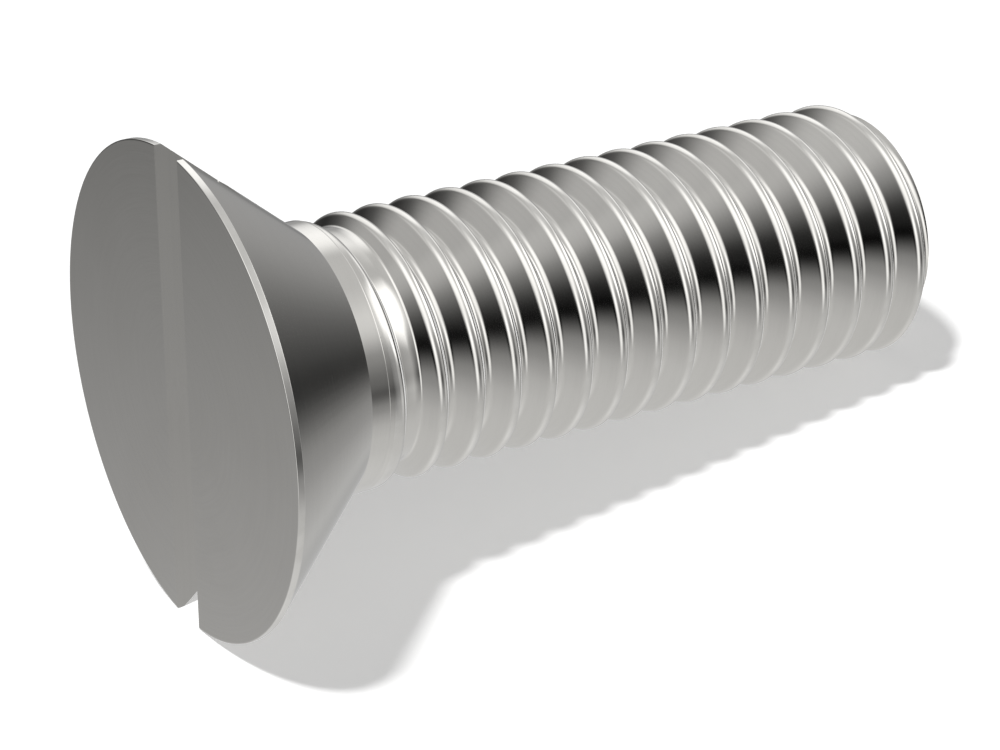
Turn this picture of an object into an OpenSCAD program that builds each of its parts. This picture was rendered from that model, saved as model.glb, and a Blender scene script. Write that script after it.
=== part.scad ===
// Slotted countersunk screw, M10 x 30, lying on its side as it comes to rest.
// The screw is one solid: a head with a cone seat, a plain neck, a helical thread and a bevelled point.

/* [Head] */
// Diameter of the flat face
head_diameter = 18; // [14:0.5:22]
// Length of the straight rim below the face
rim_length = 0.25; // [0.1:0.05:1]
// Length from the face to the small end of the cone
head_length = 5; // [4:0.25:7]
// Width of the driver slot
slot_width = 1.7; // [1:0.1:2.6]
// Depth of the driver slot
slot_depth = 2.4; // [1.5:0.1:3]

/* [Shank] */
// Length of the whole screw, face to point
screw_length = 30; // [20:1:60]
// Diameter of the plain neck
neck_diameter = 10; // [8:0.25:11]
// Length of the plain neck
neck_length = 0.75; // [0.25:0.25:3]

/* [Thread] */
// Axial distance from crest to crest
pitch = 1.5; // [1:0.25:1.75]
// Gap between the neck's surface and the thread's crests
crest_drop = 0.03; // [0.02:0.01:0.1]
// Length of the shallow groove beside the neck
runout_length = 1.55; // [1:0.05:3]
// Depth of the shallow groove below the crests
runout_depth = 0.67; // [0.4:0.01:0.9]

/* [Point] */
// Diameter of the flat end
point_diameter = 8; // [6:0.25:8]
// Angle of the bevel, measured from the axis
point_angle = 45; // [30:5:60]

/* [Hidden] */
$fn = 96;

head_radius = head_diameter / 2;
neck_radius = neck_diameter / 2;
neck_end = head_length + neck_length;
point_radius = point_diameter / 2;

// A 60 degree thread with a narrow flat crest and a rounded root.
flank_angle = 30;
crest_radius = neck_radius - crest_drop;
crest_width = pitch / 8;
root_rounding = 0.14 * pitch;
root_half = root_rounding * cos(flank_angle);
flank_width = (pitch - crest_width) / 2 - root_half;
flank_depth = flank_width / tan(flank_angle);
root_radius = crest_radius - flank_depth - root_rounding * (1 - sin(flank_angle));

// One pitch of the thread's section as [along the axis, radius], from one crest to the next.
thread_section = [
    [-crest_width / 2, crest_radius],
    [crest_width / 2, crest_radius],
    [crest_width / 2 + flank_width, crest_radius - flank_depth],
    [pitch / 2, root_radius],
    [pitch - crest_width / 2 - flank_width, crest_radius - flank_depth]
];
steps = 36;
sides = len(thread_section);
first_turn = floor(neck_end / pitch) - 1;
last_turn = ceil(screw_length / pitch) + 2;
rows = (last_turn - first_turn) * steps;

// The rest: the rim stands on both corners of the slot, and the last crest near the point touches down.
rim_height = sqrt(pow(head_radius, 2) - pow(slot_width / 2, 2));
function bevel_radius(x) = point_radius + (screw_length - x) * tan(point_angle);
contact_slopes = [
    for (turn = [last_turn - 6 : last_turn])
        let (
            edge = (turn + 0.5) * pitch - crest_width / 2,
            cut = max(0, crest_radius - bevel_radius(edge)),
            back = cut / (1 / tan(flank_angle) + tan(point_angle))
        )
            if (edge < screw_length)
                (rim_height - crest_radius + back / tan(flank_angle)) / (edge - back - rim_length)
];
rest_angle = atan(min(contact_slopes));
lift = rim_height * cos(rest_angle) + rim_length * sin(rest_angle);
left_end = -rim_height * sin(rest_angle);
right_end = screw_length * cos(rest_angle) + point_radius * sin(rest_angle);

function section_point(row, side) =
    let (
        angle = 180 + 360 * row / steps,
        along = first_turn * pitch + pitch * row / steps + thread_section[side][0],
        radius = thread_section[side][1]
    ) [radius * cos(angle), radius * sin(angle), along];

// The point after the last one of a row is the first one of the row a turn further on.
function at(row, side) = side < sides ? row * sides + side : (row + steps) * sides;

module threaded_rod() {
    corners = [for (row = [0 : rows], side = [0 : sides - 1]) section_point(row, side)];
    start = len(corners);
    end = start + 1;
    centres = [[0, 0, (first_turn + 0.5) * pitch], [0, 0, (last_turn - 0.5) * pitch]];
    flanks = [
        for (row = [0 : rows - 1], side = [0 : sides - 1])
            if (side < sides - 1 || row < rows - steps)
                each [
                    [at(row, side), at(row, side + 1), at(row + 1, side + 1)],
                    [at(row, side), at(row + 1, side + 1), at(row + 1, side)]
                ]
    ];
    start_cap = [
        for (row = [0 : steps - 1]) [start, at(row, 0), at(row + 1, 0)],
        for (side = [0 : sides - 1]) [start, at(0, side + 1), at(0, side)]
    ];
    end_cap = [
        for (row = [rows - steps : rows - 1]) [end, at(row + 1, sides - 1), at(row, sides - 1)],
        for (side = [0 : sides - 2]) [end, at(rows, side), at(rows, side + 1)],
        [end, at(rows - steps, sides - 1), at(rows, 0)]
    ];
    polyhedron(points = concat(corners, centres), faces = concat(flanks, start_cap, end_cap));
}

// What the thread is cut back to: the length and the bevelled point.
module point_envelope() {
    wide = neck_radius + 1;
    rotate_extrude()
        polygon([
            [0, first_turn * pitch - 1],
            [wide, first_turn * pitch - 1],
            [wide, screw_length - (wide - point_radius) / tan(point_angle)],
            [point_radius, screw_length],
            [0, screw_length]
        ]);
}

module thread() {
    intersection() {
        threaded_rod();
        point_envelope();
    }
    translate([0, 0, head_length])
        cylinder(r = crest_radius - runout_depth, h = neck_length + runout_length);
}

module head_and_neck() {
    rotate_extrude()
        polygon([
            [0, 0],
            [head_radius, 0],
            [head_radius, rim_length],
            [neck_radius, head_length],
            [neck_radius, neck_end],
            [0, neck_end]
        ]);
}

module slot() {
    translate([-head_radius - 1, -slot_width / 2, -1])
        cube([head_diameter + 2, slot_width, slot_depth + 1]);
}

module screw() {
    color("silver")
        translate([-(left_end + right_end) / 2, 0, lift])
            rotate([0, 90 + rest_angle, 0])
                difference() {
                    union() {
                        head_and_neck();
                        thread();
                    }
                    slot();
                }
}

screw();
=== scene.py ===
import math

import bpy
import numpy as np
from mathutils import Matrix, Vector


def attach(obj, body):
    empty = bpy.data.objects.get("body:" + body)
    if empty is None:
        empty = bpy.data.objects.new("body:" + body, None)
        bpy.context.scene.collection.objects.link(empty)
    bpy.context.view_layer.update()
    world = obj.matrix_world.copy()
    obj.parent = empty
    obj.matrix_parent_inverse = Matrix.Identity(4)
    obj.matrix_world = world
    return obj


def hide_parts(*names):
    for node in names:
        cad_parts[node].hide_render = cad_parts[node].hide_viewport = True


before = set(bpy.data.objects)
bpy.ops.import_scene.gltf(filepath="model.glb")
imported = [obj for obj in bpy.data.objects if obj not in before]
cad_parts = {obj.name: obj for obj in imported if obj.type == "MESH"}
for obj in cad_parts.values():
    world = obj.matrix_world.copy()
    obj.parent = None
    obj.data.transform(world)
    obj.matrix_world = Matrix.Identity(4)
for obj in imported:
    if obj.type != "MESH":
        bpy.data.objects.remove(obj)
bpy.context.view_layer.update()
print("frame loaded")

# Sizes are millimetres in the screw's own frame: x runs from the face to the point,
# z stands up along the slot and y points away from the camera.
headSizes = {
    "radius": 9.0,
    "rimLength": 0.25,
    "length": 5.0,
    "edgeBreak": 0.025,
    "neckBreak": 0.07,
    "slotWidth": 1.7,
    "slotDepth": 2.4,
    "slotChamfer": 0.04,
    "slotCorner": 0.15,
    "stepsAround": 288,
    "arcPoints": {"face": 5, "rim": 4, "neck": 9, "slot": 6},
}
shankSizes = {
    "length": 30.0,
    "neckRadius": 5.0,
    "neckLength": 0.75,
    "pointRadius": 4.0,
    "pointAngle": 45.0,
    "pointRounding": 0.12,
    "pointTrim": 0.03,  # taken off the bevel, so that the rounder crest stays above the floor
    "stepsAround": 192,
    "arcPoints": 5,
}
threadSizes = {
    "pitch": 1.5,
    "crestRadius": 4.97,
    "contactWidth": 0.1875,  # the CAD crest's flat, which the screw's rest is worked out from
    "crestWidth": 0.28,  # before rounding
    "crestRounding": 0.24,
    "rootRounding": 0.21,
    "flankAngle": 30.0,
    "flankShares": (0.06, 0.5, 0.94),  # its extra points; the outer two keep its shading flat
    "arcPoints": 6,
    "stepsPerTurn": 132,
    "firstTurn": 2,
    "lastTurn": 22,
    # The thread starts in stages: a faint wave beside the neck, two shallow grooves, the full groove.
    "startDip": 0.025,  # the faint wave's depth
    "startGap": 0.01,  # left between the wave's end and the first shallow groove's edge
    "startRounding": 0.32,  # of that edge, a rounder crest
    "startTurns": (3.5, 3.85),  # where the wave deepens to the first shallow groove
    "startRadii": (4.63, 4.51),  # that groove's floor, which slopes from the first radius to the second
    "startShifts": (0.16, 0.2),  # how much nearer to the head the two shallow grooves' first edges stand
    "shallowTurns": (3.95, 4.35),  # where the first shallow groove deepens to the second
    "shallowRadii": (4.38, 4.26),
    "shallowRounding": 0.12,
    "deepTurns": (4.45, 4.95),  # where the second shallow groove deepens to the full one
}
meshValues = {
    "supportReach": 0.04,  # how close to a straight side's ends its two extra points stand
    "cutMargin": 1,  # how far the cutting solids reach past what they cut
    "sharpAngle": 30,  # faces that meet at more than this, in degrees, meet in a sharp edge
}
millimetre = 0.001


def restPlace():
    # The screw stands on the slot's two lower corners and on the last crest near the point:
    # its tilt is the smallest slope from the rim down to a crest's lowest edge.
    rimHeight = math.sqrt(headSizes["radius"] ** 2 - (headSizes["slotWidth"] / 2) ** 2)
    flankSlope = 1 / math.tan(math.radians(threadSizes["flankAngle"]))
    bevelSlope = math.tan(math.radians(shankSizes["pointAngle"]))
    turns = np.arange(threadSizes["firstTurn"], threadSizes["lastTurn"])
    edges = (turns + 0.5) * threadSizes["pitch"] - threadSizes["contactWidth"] / 2
    edges = edges[edges < shankSizes["length"]]
    bevels = shankSizes["pointRadius"] + (shankSizes["length"] - edges) * bevelSlope
    backs = np.maximum(0, threadSizes["crestRadius"] - bevels) / (flankSlope + bevelSlope)
    drops = rimHeight - threadSizes["crestRadius"] + backs * flankSlope
    tilt = math.atan((drops / (edges - backs - headSizes["rimLength"])).min())
    lift = rimHeight * math.cos(tilt) + headSizes["rimLength"] * math.sin(tilt)
    left = -rimHeight * math.sin(tilt)
    right = shankSizes["length"] * math.cos(tilt) + shankSizes["pointRadius"] * math.sin(tilt)
    return tilt, Vector((-(left + right) / 2, 0, lift)) * millimetre


restTilt, restShift = restPlace()
restTurn = Matrix.Rotation(restTilt, 3, "Y")
print("tilt at rest", round(math.degrees(restTilt), 3))


def layDown(points):
    # Turns points of the screw's own frame, in millimetres, by the tilt about y and shifts them into the row frame.
    turned = np.asarray(points, float) @ np.array(restTurn).T
    return turned * millimetre + np.array(restShift)


def makeMesh(name, points, faces):
    mesh = bpy.data.meshes.new(name)
    mesh.from_pydata(layDown(points), [], faces)
    mesh.materials.append(bpy.data.materials.new(name + "Mark"))
    piece = bpy.data.objects.new(name, mesh)
    bpy.context.scene.collection.objects.link(piece)
    return piece


def arc(centre, radius, start, stop, count):
    # Points (along + r sin a, height + r cos a) for angles a from start to stop, in degrees from straight out.
    angles = np.radians(np.linspace(start, stop, count))
    return np.stack([centre[0] + radius * np.sin(angles), centre[1] + radius * np.cos(angles)], 1)


def supported(profile):
    # Adds a point close to each end of every long straight side, so that smooth shading stays flat between them.
    points, reach = [profile[0]], meshValues["supportReach"]
    for start, end in zip(profile[:-1], profile[1:]):
        start, end = np.array(start, float), np.array(end, float)
        length = np.linalg.norm(end - start)
        if length > 4 * reach:
            for share in (reach / length, 1 - reach / length):
                point = start + (end - start) * share
                if abs(point[1]) > 2 * reach:
                    points.append(point)
        points.append(end)
    return points


def turnedSolid(name, profile, steps):
    # A surface of revolution: each profile point (x, r) goes round as (x, -r sin a, r cos a); the first and last
    # points lie on the axis and close the solid as single poles.
    profile = np.asarray(supported(profile), float)
    angles = np.arange(steps) * 2 * math.pi / steps
    rings = profile[1:-1]
    x = np.repeat(rings[:, :1], steps, 1)
    y = -rings[:, 1:] * np.sin(angles)
    z = rings[:, 1:] * np.cos(angles)
    poles = [[profile[0, 0], 0, 0], [profile[-1, 0], 0, 0]]
    points = np.concatenate([np.stack([x, y, z], 2).reshape(-1, 3), poles])
    ring, step = np.meshgrid(np.arange(len(rings) - 1), np.arange(steps), indexing="ij")
    here, after = ring * steps + step, ring * steps + (step + 1) % steps
    quads = np.stack([here, after, after + steps, here + steps], 2)
    around = np.arange(steps)
    beside = (around + 1) % steps
    last = (len(rings) - 1) * steps
    startPole, endPole = len(points) - 2, len(points) - 1
    startFan = np.stack([np.full(steps, startPole), beside, around], 1)
    endFan = np.stack([np.full(steps, endPole), last + around, last + beside], 1)
    faces = quads.reshape(-1, 4).tolist() + startFan.tolist() + endFan.tolist()
    return makeMesh(name, points, faces)


def grooveSide(corner, rootRadius, rounding):
    # From a crest down to the middle of the groove as (along, radius): rounded crest corner, straight flank and
    # rounded root. Without a root radius the groove is full: its flank runs down to a root that is all rounding.
    crest, half, pitch = threadSizes["crestRadius"], threadSizes["crestWidth"] / 2, threadSizes["pitch"]
    count = threadSizes["arcPoints"]
    lean = math.radians(threadSizes["flankAngle"])
    turn = 90 - threadSizes["flankAngle"]
    tuck = math.tan(math.radians(turn / 2))
    outer = arc((half - corner * tuck, crest - corner), corner, 0, turn, count)
    if rootRadius is None:
        tangentRadius = crest - (pitch / 2 - half - rounding * math.cos(lean)) / math.tan(lean)
        centreRadius = tangentRadius + rounding * math.cos(math.radians(turn))
        inner = arc((pitch / 2, centreRadius), -rounding, turn, 0, count)
    else:
        centre = half + (crest - rootRadius) * math.tan(lean) + rounding * tuck
        bend = arc((centre, rootRadius + rounding), -rounding, turn, 0, count - 1)
        inner = np.concatenate([bend, [[pitch / 2, rootRadius]]])
    shares = np.array(threadSizes["flankShares"])[:, None]
    flank = outer[-1] + (inner[0] - outer[-1]) * shares
    return np.concatenate([outer, flank, inner])


def wholeGroove(falling, rising):
    # One pitch of the section: the falling side as it is and the rising side mirrored, meeting halfway at the root.
    middle = (falling[-1:] + rising[-1:]) / 2
    mirrored = rising[-2::-1] * [-1, 1] + [threadSizes["pitch"], 0]
    return np.concatenate([falling[:-1], middle, mirrored])


def threadSections(turns):
    # The thread's section at each turn: a faint wave beside the neck, dip sin 2 pi t deep, then the two shallow
    # grooves, then the full one, with smooth steps 3 s s - 2 s s s between them.
    corner, rounding = threadSizes["crestRounding"], threadSizes["shallowRounding"]
    side = grooveSide(corner, None, threadSizes["rootRounding"])
    full = wholeGroove(side, side)
    floors = (threadSizes["startRadii"], threadSizes["shallowRadii"])
    started, shallow = [
        wholeGroove(
            grooveSide(threadSizes["startRounding"], high, rounding) - [shift, 0],
            grooveSide(corner, low, rounding),
        )
        for (high, low), shift in zip(floors, threadSizes["startShifts"])
    ]
    share = (full[:, :1] - full[0, 0]) / (full[-1, 0] - full[0, 0])
    faint = np.concatenate([
        full[0, 0] + share * (threadSizes["pitch"] + started[0, 0] - full[0, 0] - threadSizes["startGap"]),
        threadSizes["crestRadius"] - threadSizes["startDip"] * np.sin(share * 2 * math.pi),
    ], 1)
    sections = faint[None]
    stages = ((faint, started, "startTurns"), (started, shallow, "shallowTurns"), (shallow, full, "deepTurns"))
    for before, after, name in stages:
        start, end = threadSizes[name]
        share = np.clip((turns - start) / (end - start), 0, 1)
        share = (3 - 2 * share) * share ** 2
        sections = sections + (after - before)[None] * share[:, :, None]
    return sections


def threadedRod():
    # The section is swept along a right-hand helix: at angle a it stands at x = pitch a / 360 and
    # points to (-sin a, cos a), so a crest is on top where x is a whole number of pitches.
    steps, pitch = threadSizes["stepsPerTurn"], threadSizes["pitch"]
    rows = (threadSizes["lastTurn"] - threadSizes["firstTurn"]) * steps
    row = np.arange(rows + 1)[:, None]
    turns = threadSizes["firstTurn"] + row / steps
    sections = threadSections(turns)
    sides = sections.shape[1]
    angle = row * 2 * math.pi / steps
    x = turns * pitch + sections[:, :, 0]
    y = -sections[:, :, 1] * np.sin(angle)
    z = sections[:, :, 1] * np.cos(angle)
    points = np.stack([x, y, z], 2).reshape(-1, 3)
    ends = [[(threadSizes["firstTurn"] + 0.5) * pitch, 0, 0], [(threadSizes["lastTurn"] - 0.5) * pitch, 0, 0]]
    start, end = len(points), len(points) + 1
    points = np.concatenate([points, ends])

    def at(row, side):
        # The point after the last one of a row is the first one of the row a turn further on.
        return np.where(side < sides, row * sides + side, (row + steps) * sides)

    row, side = np.meshgrid(np.arange(rows), np.arange(sides), indexing="ij")
    keep = (side < sides - 1) | (row < rows - steps)
    row, side = row[keep], side[keep]
    flanks = np.stack([at(row, side), at(row + 1, side), at(row + 1, side + 1), at(row, side + 1)], 1)
    turnRows = np.arange(steps)
    lateRows = np.arange(rows - steps, rows)
    allSides = np.arange(sides)
    lateSides = np.arange(sides - 1)
    fans = [
        (start, at(turnRows + 1, 0 * turnRows), at(turnRows, 0 * turnRows)),
        (start, at(0 * allSides, allSides), at(0 * allSides, allSides + 1)),
        (end, at(lateRows, 0 * lateRows + sides - 1), at(lateRows + 1, 0 * lateRows + sides - 1)),
        (end, at(0 * lateSides + rows, lateSides + 1), at(0 * lateSides + rows, lateSides)),
    ]
    faces = flanks.tolist()
    for centre, first, second in fans:
        faces += np.stack([np.full(len(first), centre), first, second], 1).tolist()
    faces.append([end, int(at(np.array(rows), np.array(0))), int(at(np.array(rows - steps), np.array(sides - 1)))])
    return makeMesh("threadedRod", points, faces)


def pointEnvelope():
    # What the thread is cut back to: a wide bar with a bevel down to the flat end.
    end, small = shankSizes["length"], shankSizes["pointRadius"] - shankSizes["pointTrim"]
    wide = shankSizes["neckRadius"] + meshValues["cutMargin"]
    angle = shankSizes["pointAngle"]
    rounding = shankSizes["pointRounding"]
    bevelFoot = end - (wide - small) / math.tan(math.radians(angle))
    tangent = rounding * math.tan(math.radians((90 - angle) / 2))
    corner = arc((end - rounding, small - tangent), rounding, 90 - angle, 90, shankSizes["arcPoints"])
    start = threadSizes["firstTurn"] * threadSizes["pitch"] - meshValues["cutMargin"]
    profile = [(start, 0), (start, wide), (bevelFoot, wide), *corner.tolist(), (end, 0)]
    return turnedSolid("pointEnvelope", profile, shankSizes["stepsAround"])


def headAndNeck():
    # The head's profile: flat face, rounded break, straight rim, small break, cone, neck, break at the neck's end.
    radius, rim, breakSize = headSizes["radius"], headSizes["rimLength"], headSizes["edgeBreak"]
    neck, foot, neckBreak = shankSizes["neckRadius"], headSizes["length"], headSizes["neckBreak"]
    neckEnd = foot + shankSizes["neckLength"]
    counts = headSizes["arcPoints"]
    faceEdge = arc((breakSize, radius - breakSize), breakSize, -90, 0, counts["face"])
    cone = math.degrees(math.atan2(radius - neck, foot - rim))
    tuck = breakSize * math.tan(math.radians(cone / 2))
    rimEdge = arc((rim - tuck, radius - breakSize), breakSize, 0, cone, counts["rim"])
    neckEdge = arc((neckEnd - neckBreak, neck - neckBreak), neckBreak, 0, 90, counts["neck"])
    profile = [(0, 0), *faceEdge.tolist(), *rimEdge.tolist(), (foot, neck), *neckEdge.tolist(), (neckEnd, 0)]
    return turnedSolid("headAndNeck", profile, headSizes["stepsAround"])


def slotCutter():
    # The slot's section (across, deep) with chamfered lips at the face and small round floor corners,
    # carried straight along z past both sides of the head.
    half, deep = headSizes["slotWidth"] / 2, headSizes["slotDepth"]
    lip, corner, margin = headSizes["slotChamfer"], headSizes["slotCorner"], meshValues["cutMargin"]
    floorCorner = arc((deep - corner, half - corner), corner, 0, 90, headSizes["arcPoints"]["slot"])
    outline = [(-margin, half + lip + margin), (lip, half), *floorCorner.tolist(), (deep, 0)]
    near = np.array(supported(outline)[:-1])
    far = near[::-1] * [1, -1]
    section = np.concatenate([near, far])
    count, reach = len(section), headSizes["radius"] + margin
    sides = [np.column_stack([section, np.full(count, height)]) for height in (-reach, reach)]
    points = np.concatenate(sides)
    here = np.arange(count)
    walls = np.stack([here, (here + 1) % count, count + (here + 1) % count, count + here], 1)
    faces = walls[:, ::-1].tolist() + [here.tolist(), (count + here)[::-1].tolist()]
    return makeMesh("slotCutter", points, faces)


def joined(base, steps):
    # Cuts and joins the solids in order and gives one triangle mesh.
    for tool, operation in steps:
        modifier = base.modifiers.new(operation + tool.name, "BOOLEAN")
        modifier.operation, modifier.object, modifier.solver = operation, tool, "MANIFOLD"
        modifier.material_mode = "TRANSFER"
    base.modifiers.new("triangles", "TRIANGULATE")
    bpy.context.view_layer.update()
    mesh = bpy.data.meshes.new_from_object(base.evaluated_get(bpy.context.evaluated_depsgraph_get()))
    for piece in [base, *[tool for tool, operation in steps]]:
        oldMesh = piece.data
        bpy.data.objects.remove(piece)
        bpy.data.meshes.remove(oldMesh)
    return mesh


def markSharpEdges(mesh):
    # An edge is sharp where its faces meet at more than the sharp angle, or where they come from different solids.
    mesh.shade_smooth()
    mesh.set_sharp_from_angle(angle=math.radians(meshValues["sharpAngle"]))
    source = np.zeros(len(mesh.polygons), np.int32)
    mesh.polygons.foreach_get("material_index", source)
    totals = np.zeros(len(mesh.polygons), np.int32)
    mesh.polygons.foreach_get("loop_total", totals)
    edgeOfLoop = np.zeros(len(mesh.loops), np.int32)
    mesh.loops.foreach_get("edge_index", edgeOfLoop)
    sourceOfLoop = np.repeat(source, totals)
    lowest = np.full(len(mesh.edges), 99)
    highest = np.full(len(mesh.edges), -1)
    np.minimum.at(lowest, edgeOfLoop, sourceOfLoop)
    np.maximum.at(highest, edgeOfLoop, sourceOfLoop)
    sharp = np.zeros(len(mesh.edges), bool)
    mesh.attributes["sharp_edge"].data.foreach_get("value", sharp)
    mesh.attributes["sharp_edge"].data.foreach_set("value", sharp | (lowest != highest))
    print("solids in the mesh", sorted(set(source.tolist())), "triangles", len(mesh.polygons))


def makeScrew():
    rod, envelope, head, cutter = threadedRod(), pointEnvelope(), headAndNeck(), slotCutter()
    steps = [(envelope, "INTERSECT"), (head, "UNION"), (cutter, "DIFFERENCE")]
    mesh = joined(rod, steps)
    markSharpEdges(mesh)
    mesh.name = "screwBody"
    mesh.materials.clear()
    mesh.polygons.foreach_set("material_index", np.zeros(len(mesh.polygons), np.int32))
    piece = bpy.data.objects.new("screwBody", mesh)
    bpy.context.scene.collection.objects.link(piece)
    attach(piece, "root")
    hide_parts("screw")
    piece.visible_glossy = False
    return piece


screwBody = makeScrew()
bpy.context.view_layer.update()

steelValues = {
    "colour": (0.667, 0.655, 0.627, 1),
    "wornColour": (0.78, 0.77, 0.745, 1),
    "smudgeColour": (0.6, 0.585, 0.555, 1),
    "grainColour": (0.45, 0.44, 0.42, 1),
    "roughness": 0.065,
    "grainSpacing": 0.16,  # millimetres between turning lines
    "grainDrift": 1.6,  # how much the lines change on their way round
    "grainDepth": 0.000001,  # metres
    "grainTones": (0.35, 0.65),  # the noise taken from none to all, here and below
    "grainTone": 0.05,
    "grainRoughness": 0.03,
    "wearWidth": 0.09,  # millimetres in from a crest or the rim
    "wearScale": 0.9,
    "wearTones": (0.38, 0.62),
    "wearLeast": 0.25,
    "wearAmount": 0.5,
    "rimWorn": (-0.1, 0.3),  # from where to where along the screw, in millimetres
    "crestsWorn": (5.9, 30.0),
    "smudgeSize": 7.0,  # millimetres
    "smudgeTones": (0.42, 0.68),
    "smudgeAmount": 0.3,
    "smudgeRoughness": 0.05,
}


def startGroup(name, inputs, outputs):
    # A node group with named sockets, and its own ends inside.
    group = bpy.data.node_groups.new(name, "ShaderNodeTree")
    for socket in inputs:
        kind = "NodeSocketVector" if socket in ("Position", "Direction", "Centre") else "NodeSocketFloat"
        group.interface.new_socket(socket, in_out="INPUT", socket_type=kind)
    for socket in outputs:
        group.interface.new_socket(socket, in_out="OUTPUT", socket_type="NodeSocketFloat")
    return group, group.nodes.new("NodeGroupInput").outputs, group.nodes.new("NodeGroupOutput").inputs


def feed(tree, value, socket):
    # Links another node's output to the socket, or sets a plain value on it.
    if isinstance(value, bpy.types.NodeSocket):
        tree.links.new(value, socket)
    else:
        socket.default_value = value


def calculate(tree, operation, *values):
    # A maths node on outputs or plain numbers.
    node = tree.nodes.new("ShaderNodeMath")
    node.operation = operation
    for place, value in enumerate(values):
        feed(tree, value, node.inputs[place])
    return node.outputs["Value"]


def ranged(tree, value, low, high, first, last):
    # The value from low to high, smoothly taken to first to last.
    node = tree.nodes.new("ShaderNodeMapRange")
    node.interpolation_type = "SMOOTHSTEP"
    for name, given in (("Value", value), ("From Min", low), ("From Max", high), ("To Min", first), ("To Max", last)):
        feed(tree, given, node.inputs[name])
    return node.outputs["Result"]


def clouds(tree, place, **values):
    # Noise at the place, with the texture's own values by socket name.
    node = tree.nodes.new("ShaderNodeTexNoise")
    feed(tree, place, node.inputs["Vector"])
    for name, value in values.items():
        feed(tree, value, node.inputs[name])
    return node.outputs["Fac"]


def axisParts(tree, position):
    # Distance along the axis, distance from it, and the two sides of the unit circle round it.
    split = tree.nodes.new("ShaderNodeSeparateXYZ")
    tree.links.new(position, split.inputs["Vector"])
    along, across, height = split.outputs["X"], split.outputs["Y"], split.outputs["Z"]
    acrossSquare = calculate(tree, "MULTIPLY", across, across)
    heightSquare = calculate(tree, "MULTIPLY", height, height)
    radius = calculate(tree, "SQRT", calculate(tree, "ADD", acrossSquare, heightSquare))
    safe = calculate(tree, "MAXIMUM", radius, 0.05)  # so that the division holds on the axis too
    return along, across, radius, calculate(tree, "DIVIDE", across, safe), calculate(tree, "DIVIDE", height, safe)


def turnedGrainGroup():
    # Fine lines left by turning and rolling: round the axis everywhere, and straight along the slot inside it.
    group, given, result = startGroup("turnedGrain", ("Position", "Spacing"), ("Height",))
    along, across, radius, side, top = axisParts(group, given["Position"])
    limited = calculate(group, "MINIMUM", along, headSizes["length"] + shankSizes["neckLength"])
    aroundAxis = calculate(group, "SUBTRACT", radius, limited)
    skin = 0.01  # millimetres more, so that the slot's own walls and floor count as inside it
    offCentre = calculate(group, "ABSOLUTE", across)
    narrow = calculate(group, "LESS_THAN", offCentre, headSizes["slotWidth"] / 2 + skin)
    shallow = calculate(group, "LESS_THAN", along, headSizes["slotDepth"] + skin)
    inSlot = calculate(group, "MULTIPLY", narrow, shallow)
    mix = group.nodes.new("ShaderNodeMix")
    for name, value in (("Factor", inSlot), ("A", aroundAxis), ("B", along)):
        feed(group, value, mix.inputs[name])
    lines = calculate(group, "DIVIDE", mix.outputs["Result"], given["Spacing"])
    place = group.nodes.new("ShaderNodeCombineXYZ")
    feed(group, lines, place.inputs["X"])
    feed(group, calculate(group, "MULTIPLY", side, steelValues["grainDrift"]), place.inputs["Y"])
    feed(group, calculate(group, "MULTIPLY", top, steelValues["grainDrift"]), place.inputs["Z"])
    feed(group, clouds(group, place.outputs["Vector"], Scale=1, Detail=2, Roughness=0.6), result["Height"])
    return group


def edgeWearGroup():
    # Bright rubbed metal where the distance from the axis comes near an edge's own, between two places along it.
    group, given, result = startGroup("edgeWear", ("Position", "Edge Radius", "Width", "Start", "End"), ("Wear",))
    along, across, radius, side, top = axisParts(group, given["Position"])
    inner = calculate(group, "SUBTRACT", given["Edge Radius"], given["Width"])
    near = ranged(group, radius, inner, given["Edge Radius"], 0, 1)
    after = calculate(group, "GREATER_THAN", along, given["Start"])
    before = calculate(group, "LESS_THAN", along, given["End"])
    inside = calculate(group, "MULTIPLY", after, before)
    worn = calculate(group, "MULTIPLY", near, inside)
    tone = clouds(group, given["Position"], Scale=steelValues["wearScale"], Detail=4)
    patchy = ranged(group, tone, *steelValues["wearTones"], steelValues["wearLeast"], 1)
    feed(group, calculate(group, "MULTIPLY", worn, patchy), result["Wear"])
    return group


def smudgeGroup():
    # Soft clouds of handling film.
    group, given, result = startGroup("smudge", ("Position", "Size"), ("Smudge",))
    scale = calculate(group, "DIVIDE", 1, given["Size"])
    tone = clouds(group, given["Position"], Scale=scale, Detail=5, Distortion=0.4)
    feed(group, ranged(group, tone, *steelValues["smudgeTones"], 0, 1), result["Smudge"])
    return group


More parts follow.
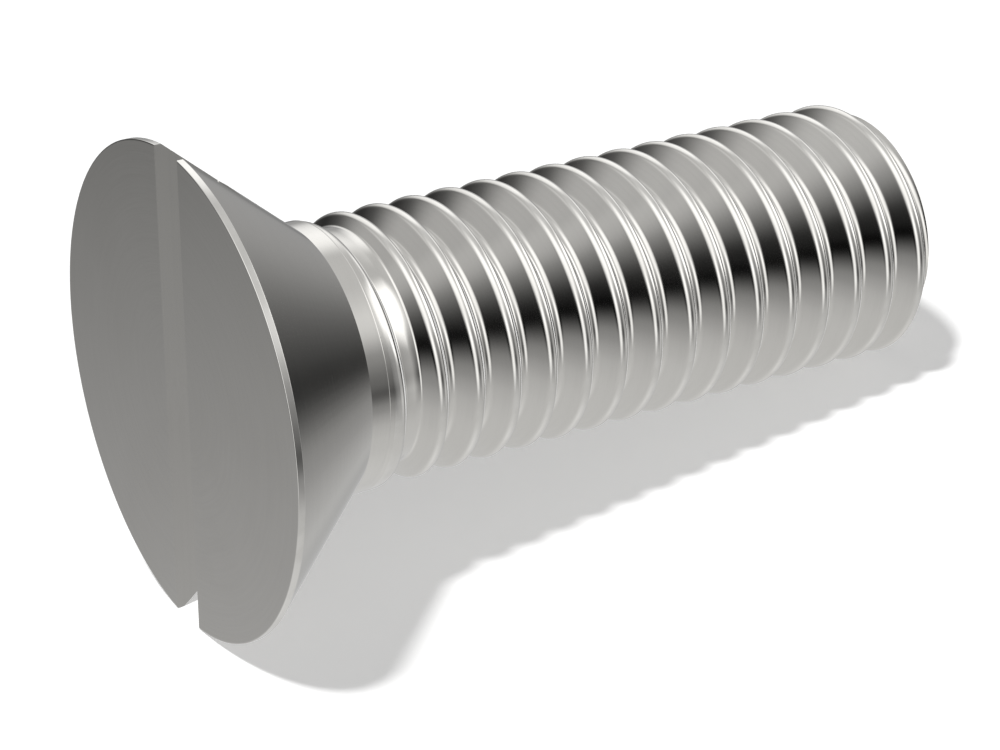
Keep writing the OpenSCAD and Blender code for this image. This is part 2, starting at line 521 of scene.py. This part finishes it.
def steel():
    material = bpy.data.materials.new("polishedSteel")
    material.use_nodes = True
    tree = material.node_tree
    nodes, links = tree.nodes, tree.links
    shader = nodes["Principled BSDF"]
    coordinate = nodes.new("ShaderNodeTexCoord")
    own = nodes.new("ShaderNodeMapping")  # from the laid down place to the screw's own frame in millimetres
    own.vector_type = "TEXTURE"
    own.inputs["Location"].default_value = restShift
    own.inputs["Rotation"].default_value = (0, restTilt, 0)
    own.inputs["Scale"].default_value = (millimetre, millimetre, millimetre)
    links.new(coordinate.outputs["Object"], own.inputs["Vector"])

    def effect(group, output, values):
        node = nodes.new("ShaderNodeGroup")
        node.node_tree = group
        for name, value in {"Position": own.outputs["Vector"], **values}.items():
            feed(tree, value, node.inputs[name])
        return node.outputs[output]

    def mixColour(factor, first, second):
        # The node's colour sockets have no names of their own: inputs 6 and 7, output 2.
        mix = nodes.new("ShaderNodeMix")
        mix.data_type = "RGBA"
        for place, value in ((0, factor), (6, first), (7, second)):
            feed(tree, value, mix.inputs[place])
        return mix.outputs[2]

    grain = effect(turnedGrainGroup(), "Height", {"Spacing": steelValues["grainSpacing"]})
    smudge = effect(smudgeGroup(), "Smudge", {"Size": steelValues["smudgeSize"]})
    wearGroup = edgeWearGroup()
    rimWear, crestWear = [
        effect(wearGroup, "Wear", {
            "Edge Radius": radius,
            "Width": steelValues["wearWidth"],
            "Start": steelValues[reach][0],
            "End": steelValues[reach][1],
        })
        for radius, reach in ((headSizes["radius"], "rimWorn"), (threadSizes["crestRadius"], "crestsWorn"))
    ]
    wear = calculate(tree, "MULTIPLY", calculate(tree, "ADD", rimWear, crestWear), steelValues["wearAmount"])
    film = calculate(tree, "MULTIPLY", smudge, steelValues["smudgeAmount"])
    contrast = ranged(tree, grain, *steelValues["grainTones"], 0, 1)
    tone = calculate(tree, "MULTIPLY", contrast, steelValues["grainTone"])
    colour = mixColour(film, steelValues["colour"], steelValues["smudgeColour"])
    colour = mixColour(tone, colour, steelValues["grainColour"])
    colour = mixColour(wear, colour, steelValues["wornColour"])
    links.new(colour, shader.inputs["Base Color"])
    rough = calculate(tree, "MULTIPLY_ADD", smudge, steelValues["smudgeRoughness"], steelValues["roughness"])
    links.new(calculate(tree, "MULTIPLY_ADD", grain, steelValues["grainRoughness"], rough), shader.inputs["Roughness"])
    bump = nodes.new("ShaderNodeBump")
    bump.inputs["Strength"].default_value = 1
    bump.inputs["Distance"].default_value = steelValues["grainDepth"]
    links.new(grain, bump.inputs["Height"])
    links.new(bump.outputs["Normal"], shader.inputs["Normal"])
    shader.inputs["Metallic"].default_value = 1
    return material


screwBody.data.materials.append(steel())

cameraValues = {
    "place": (-40.565, -88.437, 46.290),  # in the screw's own frame, millimetres
    "look": (0.4695, 0.7731, -0.4265),  # the direction it looks in, in the same frame
    "lens": 110.906,  # millimetres, for a sensor 36 wide
}


def makeCamera():
    camera = bpy.data.objects.new("camera", bpy.data.cameras.new("camera"))
    camera.data.sensor_width = 36
    camera.data.lens = cameraValues["lens"]
    camera.data.clip_start, camera.data.clip_end = 0.005, 10
    look = (restTurn @ Vector(cameraValues["look"])).normalized()
    up = restTurn @ Vector((0, 0, 1))
    right = look.cross(up).normalized()
    axes = Matrix((right, right.cross(look), -look)).transposed()
    camera.matrix_world = Matrix.Translation(layDown([cameraValues["place"]])[0]) @ axes.to_4x4()
    bpy.context.scene.collection.objects.link(camera)
    bpy.context.scene.camera = camera


makeCamera()

floorValues = {
    "half": 0.6,  # metres from the middle to a side
    "colour": (0.8, 0.8, 0.8, 1),
    "glow": 0.335,  # what the camera sees on top of the lit floor, so that open floor is white
}


def makeFloor():
    half = floorValues["half"]
    mesh = bpy.data.meshes.new("floor")
    mesh.from_pydata([(-half, -half, 0), (half, -half, 0), (half, half, 0), (-half, half, 0)], [], [(0, 1, 2, 3)])
    floor = bpy.data.objects.new("floor", mesh)
    bpy.context.scene.collection.objects.link(floor)
    floor.visible_glossy = False
    material = bpy.data.materials.new("paleFloor")
    material.use_nodes = True
    tree = material.node_tree
    shader = tree.nodes["Principled BSDF"]
    shader.inputs["Base Color"].default_value = floorValues["colour"]
    shader.inputs["Roughness"].default_value = 1
    shader.inputs["Specular IOR Level"].default_value = 0
    shader.inputs["Emission Color"].default_value = (1, 1, 1, 1)
    seen = tree.nodes.new("ShaderNodeLightPath").outputs["Is Camera Ray"]
    feed(tree, calculate(tree, "MULTIPLY", seen, floorValues["glow"]), shader.inputs["Emission Strength"])
    mesh.materials.append(material)


makeFloor()

lampValues = {"azimuth": 258.0, "elevation": 67.0, "strength": 2.3, "softness": 6}  # angles in degrees


def direction(azimuth, elevation):
    # The unit vector (sin a cos e, cos a cos e, sin e): azimuth a is 0 along +Y and 90 along +X, both in degrees.
    azimuth, elevation = math.radians(azimuth), math.radians(elevation)
    level = math.cos(elevation)
    return Vector((math.sin(azimuth) * level, math.cos(azimuth) * level, math.sin(elevation)))


def makeKeyLamp():
    lamp = bpy.data.objects.new("keyLamp", bpy.data.lights.new("keyLamp", "SUN"))
    lamp.data.energy = lampValues["strength"]
    lamp.data.angle = math.radians(lampValues["softness"])
    lamp.visible_glossy = False
    towards = restTurn @ direction(lampValues["azimuth"], lampValues["elevation"])
    lamp.rotation_mode = "QUATERNION"
    lamp.rotation_quaternion = towards.to_track_quat("Z", "Y")
    bpy.context.scene.collection.objects.link(lamp)


makeKeyLamp()

# The studio round the screw: brightness by elevation, and soft round patches that add light or take it away.
# It stands in the screw's own frame, so it tips with the screw.
studioValues = {
    "levels": [  # elevation in degrees, brightness
        (-90, 0.9), (-60, 0.744), (-45, 0.681), (-35, 0.576), (-27, 0.417), (-20, 0.271), (-13, 0.04), (-5, 0.018),
        (3, 0.062), (11, 0.157), (20, 0.247), (30, 0.476), (45, 0.657), (90, 0.8),
    ],
    "patches": {  # azimuth, elevation, inner and outer radius in degrees, added brightness
        "keyBox": (-133, 43, 20, 52, 0.9),
        "lowBox": (-152, -5, 7, 39, 1.3),
        "backWindow": (13, 34, 17, 36, 0.59),
        "backGlow": (36, 8, 11, 54, 0.38),
        "frontGlow": (157, 18, 20, 43, 0.17),
        "leftGlow": (-60, 15, 13, 38, 0.37),
        "rightBox": (108, 25, 18, 30, 1.12),
        "rightGlow": (125, 33, 14, 32, 0.21),
        "crestGlow": (118, -7, 10, 32, 0.5),
        "crestTopGlow": (68, 28, 7, 20, 0.6),
        "tipBox": (52, -19, 6, 14, 1.0),
        "flankGlow": (-75, 12, 4, 11, 0.09),
        "faceShade": (-25, -26, 7, 14, -0.026),
        "faceTopShade": (-25, -19, 2, 8, -0.035),
        "coneShade": (44, -33, 3, 14, -0.12),
        "coneTopShade": (30, -15, 3, 10, -0.14),
    },
    "onDiffuse": 0.2,  # share of it that lights the floor
}


def patchGroup():
    # A round patch: its whole level inside the inner angle from its centre, smoothly nothing at the outer angle.
    group, given, result = startGroup("softPatch", ("Direction", "Centre", "Inner", "Outer", "Level"), ("Light",))
    dot = group.nodes.new("ShaderNodeVectorMath")
    dot.operation = "DOT_PRODUCT"
    feed(group, given["Direction"], dot.inputs[0])
    feed(group, given["Centre"], dot.inputs[1])
    angle = calculate(group, "ARCCOSINE", dot.outputs["Value"])
    share = ranged(group, angle, given["Inner"], given["Outer"], 1, 0)
    feed(group, calculate(group, "MULTIPLY", share, given["Level"]), result["Light"])
    return group


def makeWorld():
    world = bpy.data.worlds.new("studio")
    bpy.context.scene.world = world
    world.use_nodes = True
    tree = world.node_tree
    nodes, links = tree.nodes, tree.links
    nodes.clear()
    output = nodes.new("ShaderNodeOutputWorld")
    background = nodes.new("ShaderNodeBackground")
    background.inputs["Color"].default_value = (1, 1, 1, 1)
    coordinate = nodes.new("ShaderNodeTexCoord")
    turn = nodes.new("ShaderNodeMapping")
    turn.inputs["Rotation"].default_value = (0, -restTilt, 0)
    links.new(coordinate.outputs["Generated"], turn.inputs["Vector"])
    unit = nodes.new("ShaderNodeVectorMath")
    unit.operation = "NORMALIZE"
    links.new(turn.outputs["Vector"], unit.inputs[0])
    split = nodes.new("ShaderNodeSeparateXYZ")
    links.new(unit.outputs["Vector"], split.inputs["Vector"])
    spread = nodes.new("ShaderNodeMapRange")
    spread.inputs["From Min"].default_value = -math.pi / 2
    spread.inputs["From Max"].default_value = math.pi / 2
    links.new(calculate(tree, "ARCSINE", split.outputs["Z"]), spread.inputs["Value"])
    ramp = nodes.new("ShaderNodeValToRGB")
    ramp.color_ramp.interpolation = "CARDINAL"
    stops = ramp.color_ramp.elements
    while len(stops) < len(studioValues["levels"]):
        stops.new(0.5)
    for stop, (elevation, level) in zip(stops, studioValues["levels"]):
        stop.position = (elevation + 90) / 180
        stop.color = (level, level, level, 1)
    links.new(spread.outputs["Result"], ramp.inputs["Fac"])
    light, group = ramp.outputs["Color"], patchGroup()
    for name, (azimuth, elevation, inner, outer, level) in studioValues["patches"].items():
        patch = nodes.new("ShaderNodeGroup")
        patch.node_tree, patch.label = group, name
        patch.inputs["Centre"].default_value = direction(azimuth, elevation)
        patch.inputs["Inner"].default_value = math.radians(inner)
        patch.inputs["Outer"].default_value = math.radians(outer)
        patch.inputs["Level"].default_value = level
        links.new(unit.outputs["Vector"], patch.inputs["Direction"])
        light = calculate(tree, "ADD", light, patch.outputs["Light"])
    rays = nodes.new("ShaderNodeLightPath")
    dim = nodes.new("ShaderNodeMapRange")
    dim.inputs["To Min"].default_value, dim.inputs["To Max"].default_value = 1, studioValues["onDiffuse"]
    links.new(rays.outputs["Is Diffuse Ray"], dim.inputs["Value"])
    seen = nodes.new("ShaderNodeMix")
    links.new(rays.outputs["Is Camera Ray"], seen.inputs["Factor"])
    links.new(calculate(tree, "MULTIPLY", light, dim.outputs["Result"]), seen.inputs["A"])
    seen.inputs["B"].default_value = 1  # what the camera sees beyond the floor is white
    links.new(seen.outputs["Result"], background.inputs["Strength"])
    links.new(background.outputs["Background"], output.inputs["Surface"])


makeWorld()
bpy.context.scene.view_settings.view_transform = "Standard"
